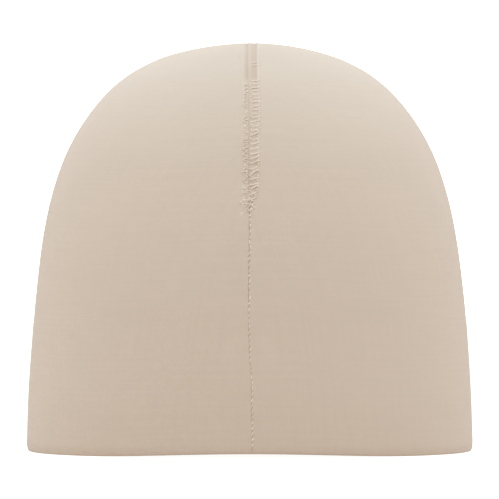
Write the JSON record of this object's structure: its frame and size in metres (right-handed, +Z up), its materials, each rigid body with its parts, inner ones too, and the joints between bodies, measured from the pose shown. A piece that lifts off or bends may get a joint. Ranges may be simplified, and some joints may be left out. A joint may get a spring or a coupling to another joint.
{
  "type": "cotton beanie",
  "caption": "Plain soft beanie of doubled cotton jersey, with a flat-locked seam over the crown and a thin seam line down to a folded hem; open at the bottom.",
  "frame": {"origin": "middle of the hem, on the surface that the hat stands on", "axes": "+Z up through the crown, -Y the front that the picture shows, +X to the right as seen from the front"},
  "size_m": [0.172, 0.191, 0.1571],
  "materials": {
    "jersey": "warm sand cotton jersey, matt",
    "thread": "pale sand sewing thread, matt"
  },
  "bodies": {
    "root": {"panel_left": "jersey", "panel_right": "jersey", "crown_seam": "thread", "crown_seam_inside": "thread", "seam_front": "thread", "seam_back": "thread"}
  },
  "joints": []
}
